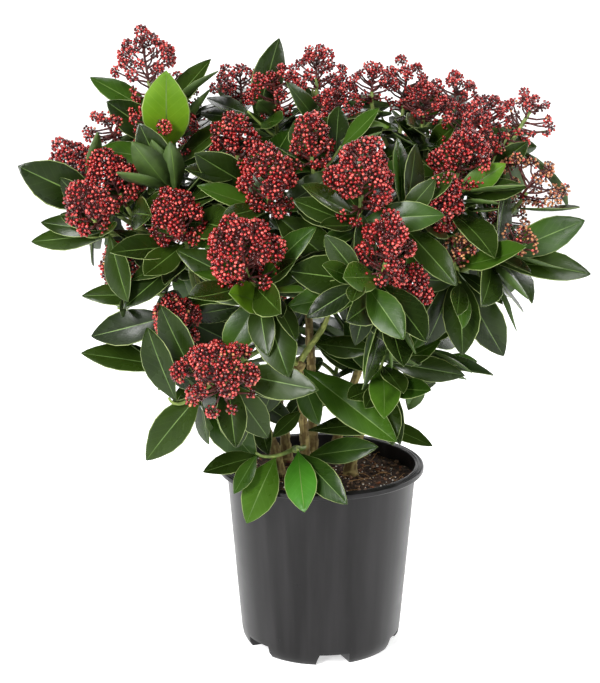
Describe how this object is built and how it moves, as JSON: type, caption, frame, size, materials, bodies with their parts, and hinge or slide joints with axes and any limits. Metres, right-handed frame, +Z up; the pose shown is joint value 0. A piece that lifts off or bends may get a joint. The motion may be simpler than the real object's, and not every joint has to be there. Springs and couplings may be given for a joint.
{
  "type": "potted skimmia shrub",
  "caption": "Broad evergreen skimmia shrub in a round nursery pot, with whorls of glossy oval leaves under domed heads of small red buds.",
  "frame": {"origin": "middle of the pot's flat underside, where the plant stands", "axes": "+Z up along the pot's axis, -Y towards the front, +X to the right as seen from the front"},
  "size_m": [0.5384, 0.4611, 0.619],
  "materials": {
    "pot": "dark grey moulded polypropylene with a low sheen",
    "soil": "moist dark brown potting compost with fibres and white perlite",
    "stem": "flaking olive and tan bark",
    "bough": "smooth yellow-green young wood",
    "foliage": "glossy dark green leaves with pale midribs and margins, and deep red buds"
  },
  "bodies": {
    "root": {"pot": "pot", "soil": "soil", "stem_left": "stem", "stem_front": "stem", "stem_middle": "stem", "stem_right": "stem", "stem_back_left": "stem", "stem_back_right": "stem", "bough_left_high": "bough", "bough_left_low": "bough", "bough_front_left": "bough", "bough_front_right": "bough", "bough_middle_front": "bough", "bough_middle_top": "bough", "bough_right_high": "bough", "bough_right_low": "bough", "bough_back_left": "bough", "bough_back_middle": "bough", "bough_back_right_high": "bough", "bough_back_right_low": "bough", "mass_peak_left": "foliage", "mass_shoulder_left": "foliage", "mass_side_left": "foliage", "mass_front_left": "foliage", "mass_foot_left": "foliage", "mass_front_low": "foliage", "mass_front_right": "foliage", "mass_front_mid": "foliage", "mass_front_upper_left": "foliage", "mass_front_upper": "foliage", "mass_top_left": "foliage", "mass_top_middle": "foliage", "mass_front_upper_right": "foliage", "mass_peak_right": "foliage", "mass_side_right": "foliage", "mass_low_right": "foliage", "mass_back_left": "foliage", "mass_back_low_left": "foliage", "mass_back_middle": "foliage", "mass_back_low": "foliage", "mass_top_right": "foliage", "mass_shoulder_right": "foliage", "mass_back_right": "foliage", "mass_back_low_right": "foliage", "skirt_front": "foliage", "skirt_right": "foliage", "skirt_left": "foliage", "skirt_back": "foliage"}
  },
  "joints": []
}
